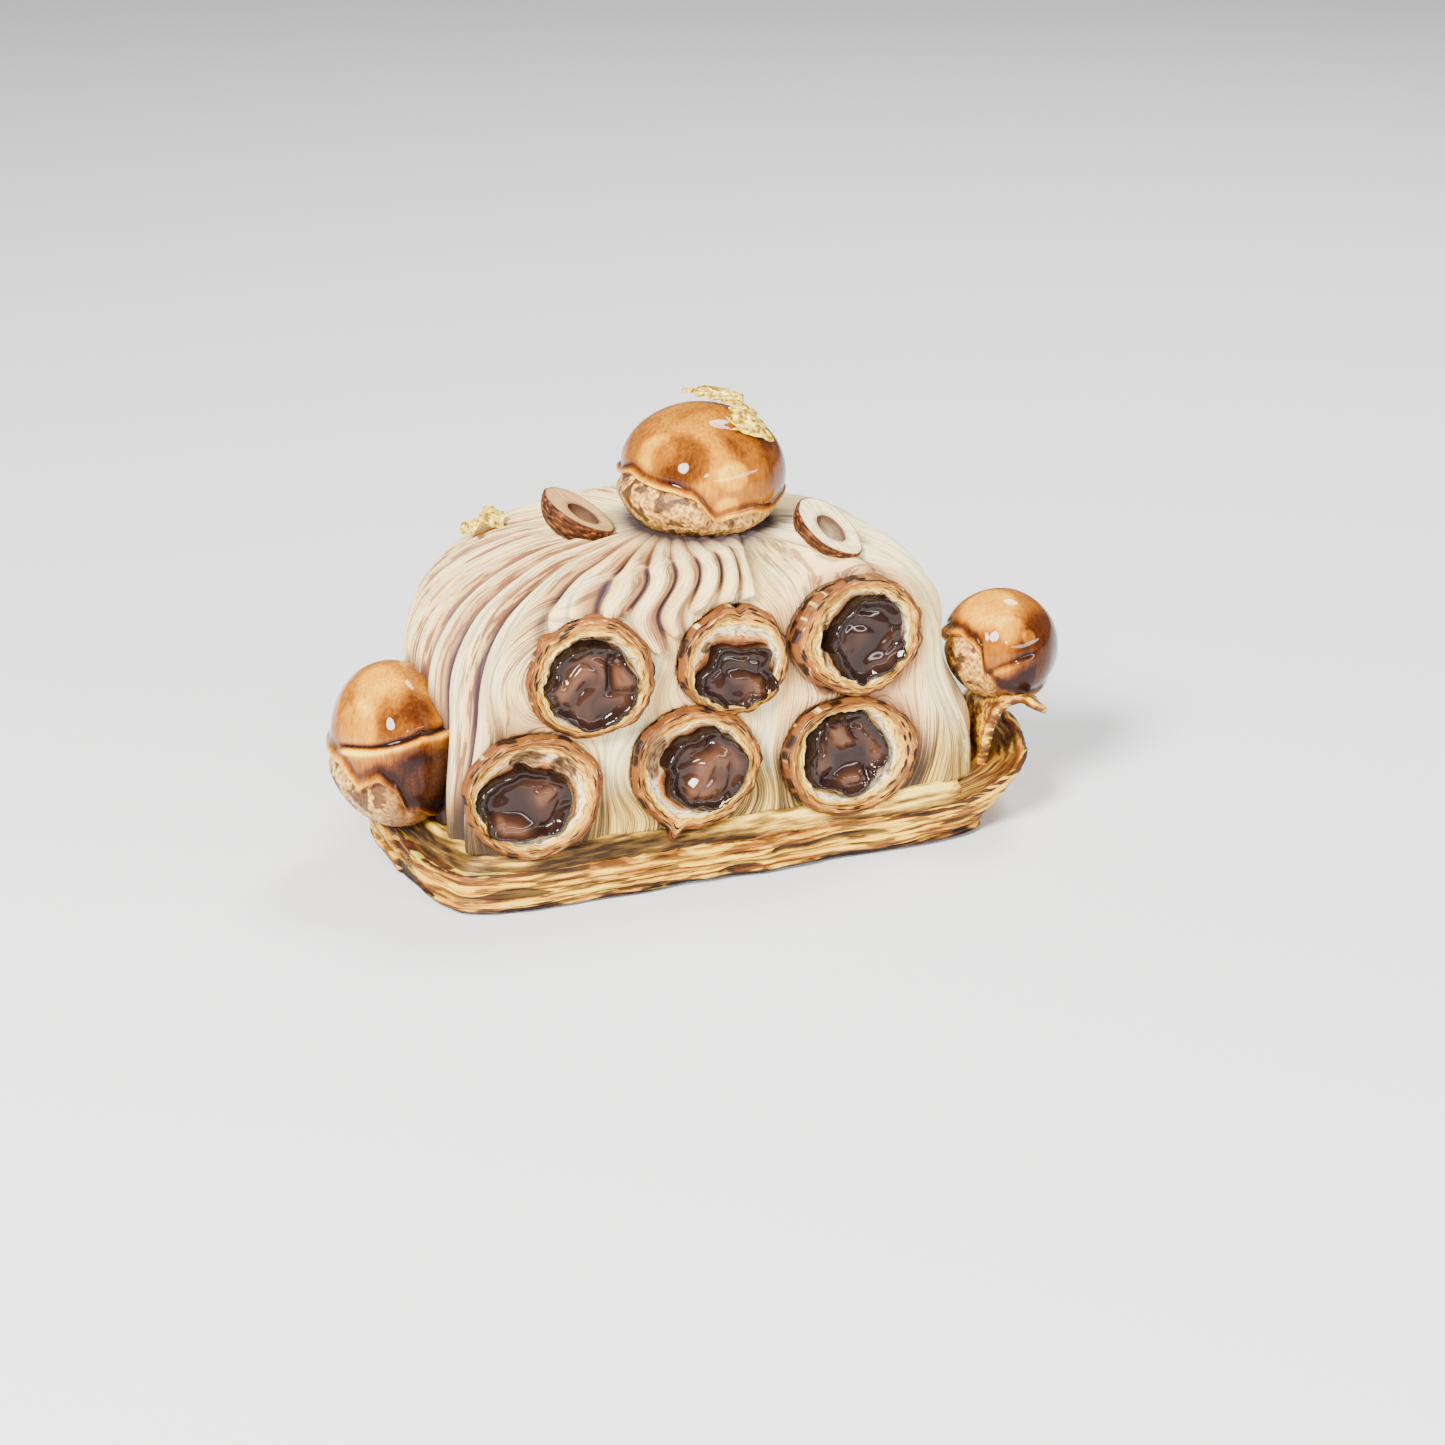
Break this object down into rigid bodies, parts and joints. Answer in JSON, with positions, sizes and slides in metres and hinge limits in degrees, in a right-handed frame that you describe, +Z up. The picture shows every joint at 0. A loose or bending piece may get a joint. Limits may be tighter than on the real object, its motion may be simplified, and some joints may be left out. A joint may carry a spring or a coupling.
{
  "type": "saint honore cake",
  "caption": "Saint Honore cake cut open in front: puff pastry, creme patissiere, ribbed whipped cream dome with halved choux and praline, caramel choux, hazelnuts and gold leaf.",
  "frame": {"origin": "middle of the footprint, at the underside of the pastry", "axes": "+X along the cut from left to right, +Y away from the cut, +Z up"},
  "size_m": [0.1752, 0.1255, 0.1062],
  "materials": {
    "puff_pastry": "matte",
    "creme_patissiere": "satin",
    "whipped_cream": "satin",
    "choux_crust": "matte",
    "praline": "gloss",
    "choux_skin": "matte",
    "caramel": "gloss",
    "hazelnut": "matte",
    "gold_leaf": "satin"
  },
  "bodies": {
    "root": {"puff_pastry": "puff_pastry", "creme_patissiere": "creme_patissiere", "whipped_cream": "whipped_cream", "choux_shell_lower_left": "choux_crust", "choux_shell_lower_middle": "choux_crust", "choux_shell_lower_right": "choux_crust", "choux_shell_upper_left": "choux_crust", "choux_shell_upper_middle": "choux_crust", "choux_shell_upper_right": "choux_crust", "praline_lower_left": "praline", "praline_lower_middle": "praline", "praline_lower_right": "praline", "praline_upper_left": "praline", "praline_upper_middle": "praline", "praline_upper_right": "praline", "choux_top": "choux_skin", "choux_left": "choux_skin", "choux_right": "choux_skin", "choux_back": "choux_skin", "caramel_top": "caramel", "caramel_left": "caramel", "caramel_right": "caramel", "caramel_back": "caramel", "hazelnut_left": "hazelnut", "hazelnut_right": "hazelnut", "gold_leaf_draped": "gold_leaf", "gold_leaf_loose": "gold_leaf"}
  },
  "joints": []
}
